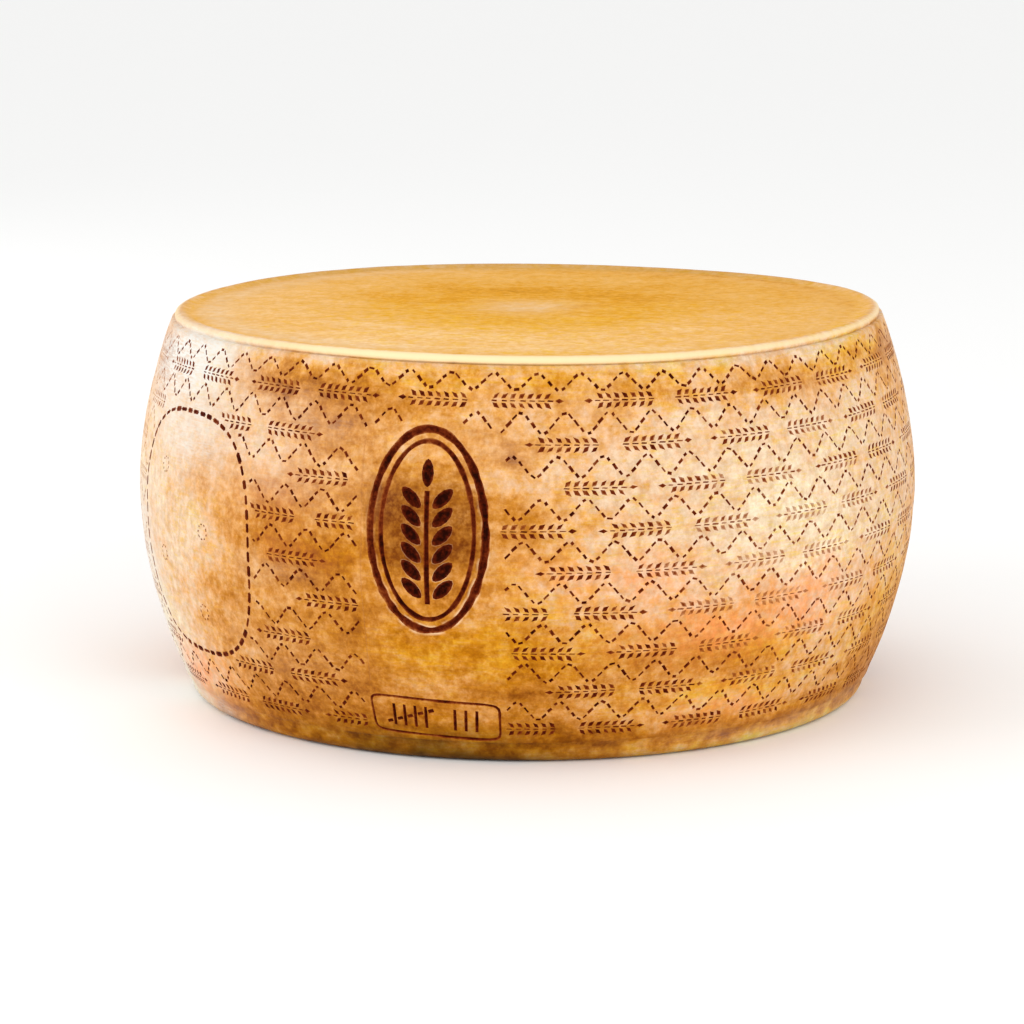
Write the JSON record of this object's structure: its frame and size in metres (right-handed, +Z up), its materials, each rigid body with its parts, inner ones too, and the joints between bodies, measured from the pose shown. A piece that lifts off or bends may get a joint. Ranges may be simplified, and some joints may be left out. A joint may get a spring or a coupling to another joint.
{
  "type": "hard cheese wheel",
  "caption": "Whole drum-shaped wheel of hard aged cheese with a bulging stamped side, a thin pale lip round its flat top and a flat foot; it stands on its foot.",
  "frame": {"origin": "middle of the foot's flat face, on the ground, midway along the outline's width and depth", "axes": "+Z up, out of the top face; -Y is the side with the burnt oval mark, and +X is to the right of someone who faces it"},
  "size_m": [0.44, 0.44, 0.2171],
  "materials": {
    "rind": "satin"
  },
  "bodies": {
    "root": {"cheese_wheel": "rind"}
  },
  "joints": []
}
